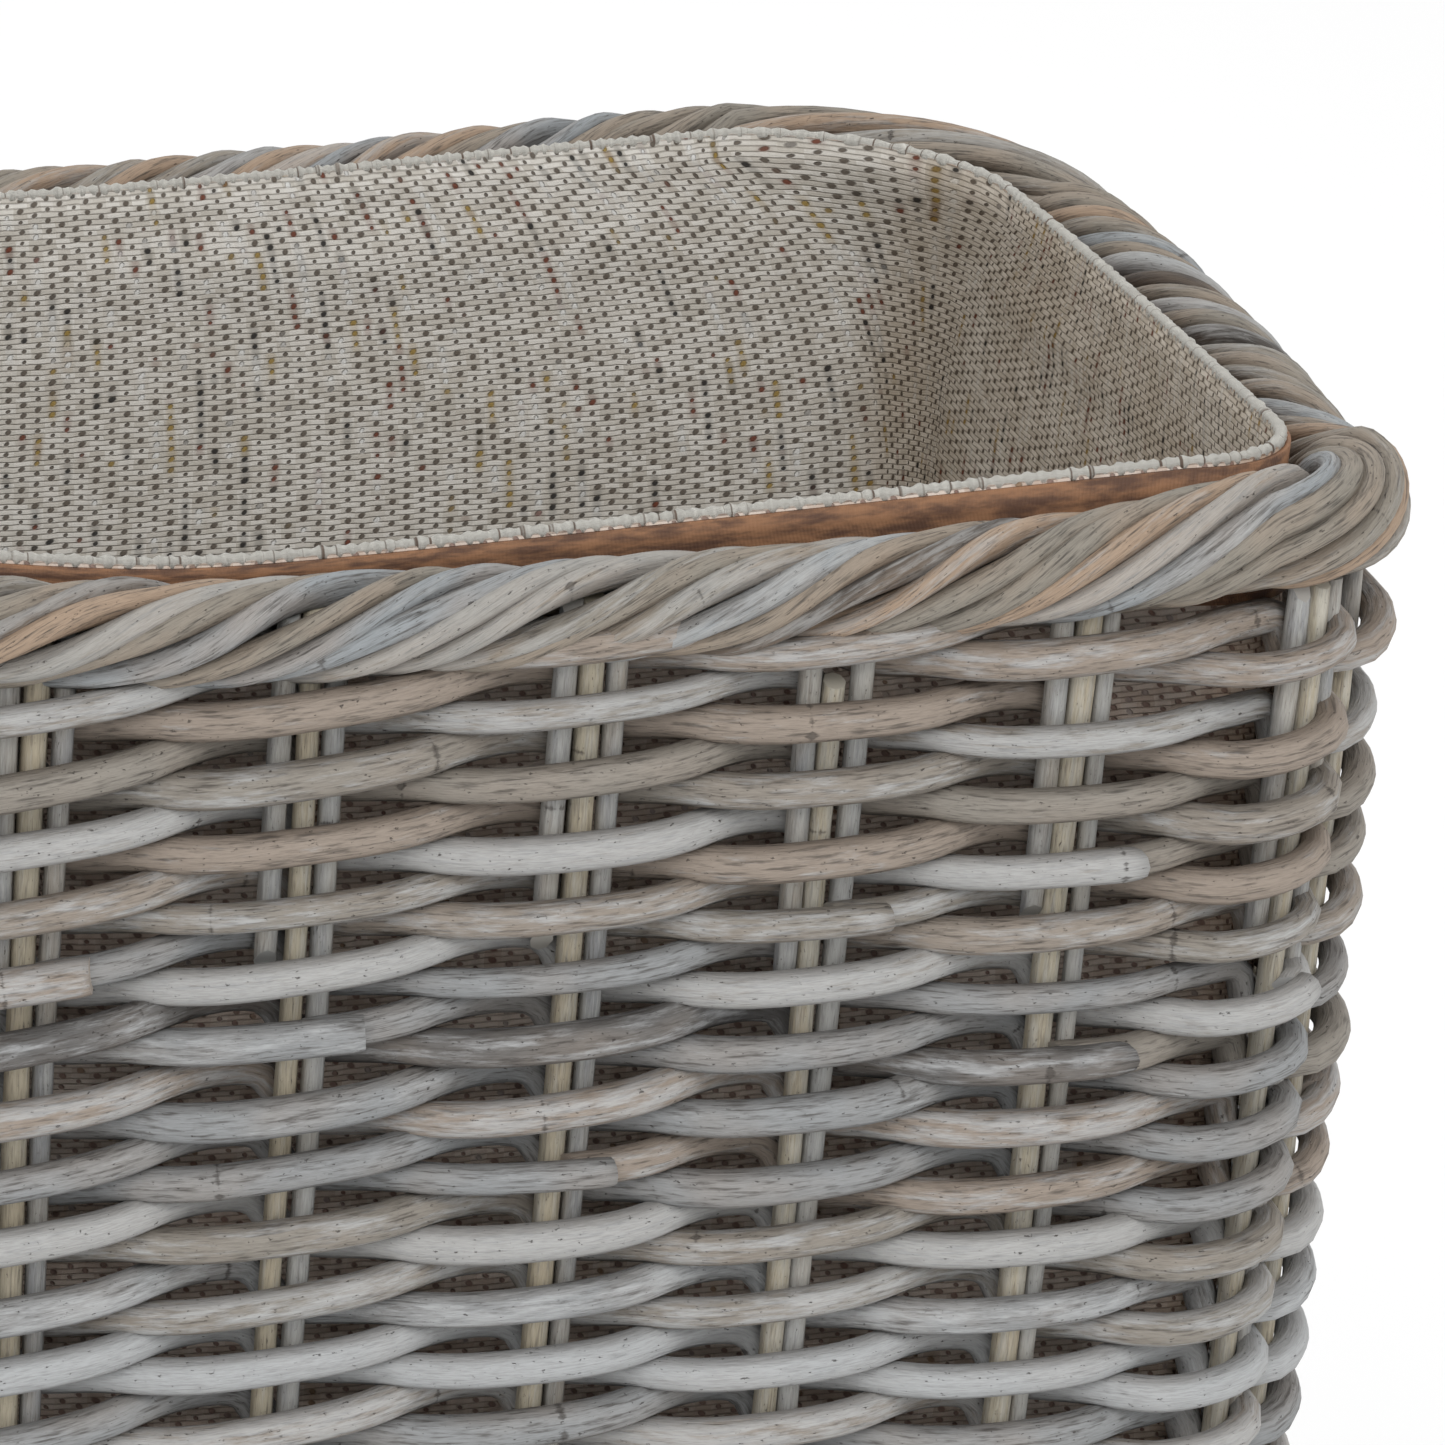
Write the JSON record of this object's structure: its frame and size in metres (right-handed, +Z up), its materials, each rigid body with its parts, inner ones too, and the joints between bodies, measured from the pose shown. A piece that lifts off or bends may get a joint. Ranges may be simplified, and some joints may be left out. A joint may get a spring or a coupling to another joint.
{
  "type": "woven laundry basket",
  "caption": "Open rectangular laundry basket of twined grey rattan with a thick rolled border and a lift-out stiff tweed liner that stands a little above the rim.",
  "frame": {"origin": "centre of the footprint, on the floor that the foot rests on", "axes": "+Z up, +X along the long side towards the right when seen from the front, -Y towards the viewer of the front"},
  "size_m": [0.476, 0.288, 0.454],
  "materials": {
    "stake_rod": "dry peeled rattan rod",
    "weaver": "matt grey stained rattan",
    "border_cane": "matt streaked rattan",
    "liner_cloth": "coarse stiff tweed",
    "liner_tape": "brown stitched tape"
  },
  "bodies": {
    "basket": {"base_sticks": "stake_rod", "base_weave_lower": "weaver", "base_weave_upper": "weaver", "border_back": "border_cane", "border_corners": "border_cane", "border_front": "border_cane", "border_left": "border_cane", "border_right": "border_cane", "foot_back": "border_cane", "foot_corners": "border_cane", "foot_front": "border_cane", "foot_left": "border_cane", "foot_right": "border_cane", "stake_tails_back": "stake_rod", "stake_tails_front": "stake_rod", "stake_tails_left": "stake_rod", "stake_tails_right": "stake_rod", "stakes_back": "stake_rod", "stakes_front": "stake_rod", "stakes_left": "stake_rod", "stakes_right": "stake_rod", "weave_inner_back": "weaver", "weave_inner_corners": "weaver", "weave_inner_front": "weaver", "weave_inner_left": "weaver", "weave_inner_right": "weaver", "weave_outer_back": "weaver", "weave_outer_corners": "weaver", "weave_outer_front": "weaver", "weave_outer_left": "weaver", "weave_outer_right": "weaver"},
    "liner": {"liner_back": "liner_cloth", "liner_base": "liner_cloth", "liner_corners": "liner_cloth", "liner_front": "liner_cloth", "liner_left": "liner_cloth", "liner_right": "liner_cloth", "liner_tape_back": "liner_tape", "liner_tape_corners": "liner_tape", "liner_tape_front": "liner_tape", "liner_tape_left": "liner_tape", "liner_tape_right": "liner_tape"}
  },
  "joints": [
    {"name": "liner_lift", "type": "slide", "parent": "basket", "child": "liner", "axis": [0, 0, 1], "range_m": [0, 0.47]}
  ]
}
